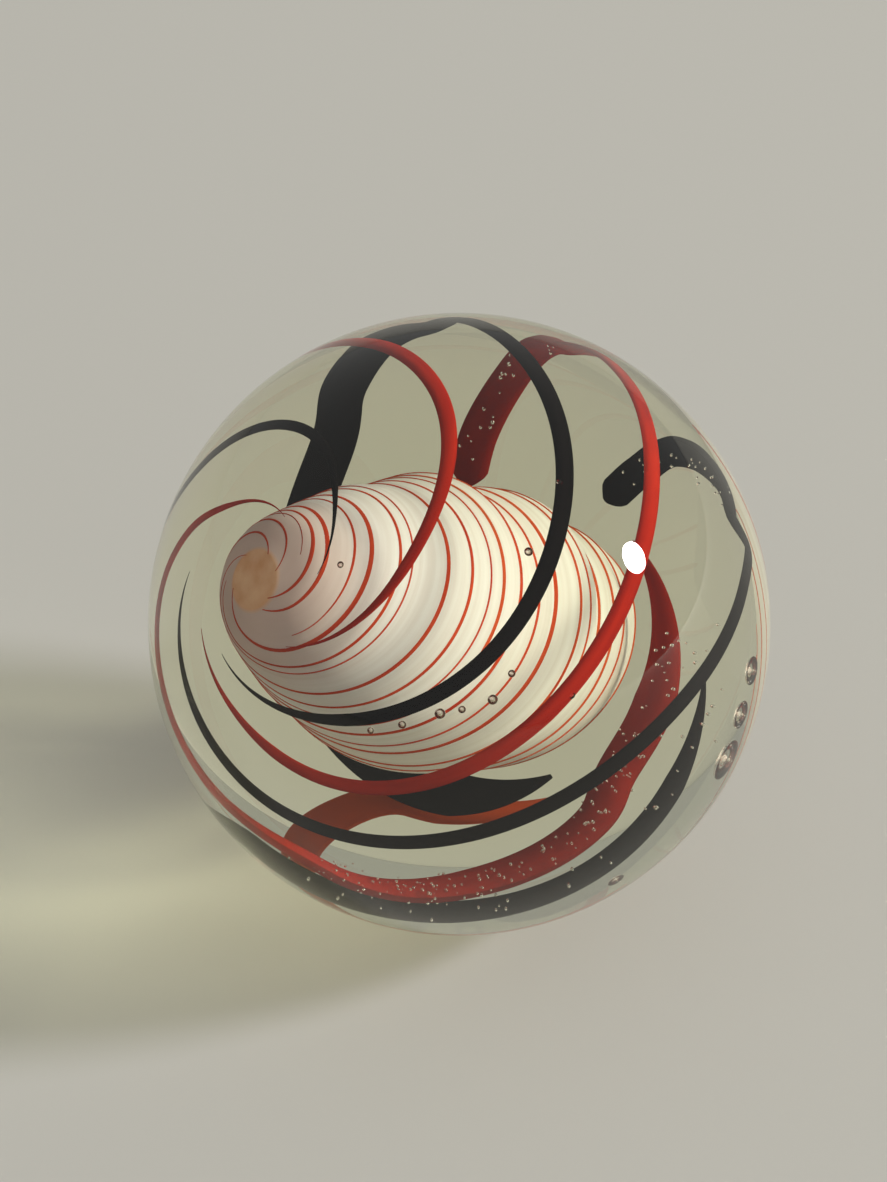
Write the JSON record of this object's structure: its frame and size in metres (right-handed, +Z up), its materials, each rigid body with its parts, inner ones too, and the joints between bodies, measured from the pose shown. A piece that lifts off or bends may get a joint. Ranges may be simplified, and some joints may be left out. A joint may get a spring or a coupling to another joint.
{
  "type": "glass marble",
  "caption": "Handmade clear glass marble with a twisted white core and black and red strands that spiral from pole to pole under its surface.",
  "frame": {"origin": "centre of the ball", "axes": "+Z up as the marble lies in the picture, -Y towards the viewer, +X to the viewer's right; the near pole of the swirl faces the viewer's upper left"},
  "size_m": [0.016, 0.016, 0.016],
  "materials": {
    "clear_glass": "fire-polished clear glass with a faint olive tint and air bubbles",
    "white_glass": "opaque white glass with fine red threads",
    "black_glass": "opaque black glass",
    "red_glass": "opaque red glass"
  },
  "bodies": {
    "root": {"clear_glass": "clear_glass", "white_core": "white_glass", "black_strand_1": "black_glass", "black_strand_2": "black_glass", "black_strand_3": "black_glass", "red_strand_1": "red_glass", "red_strand_2": "red_glass", "red_strand_3": "red_glass"}
  },
  "joints": []
}
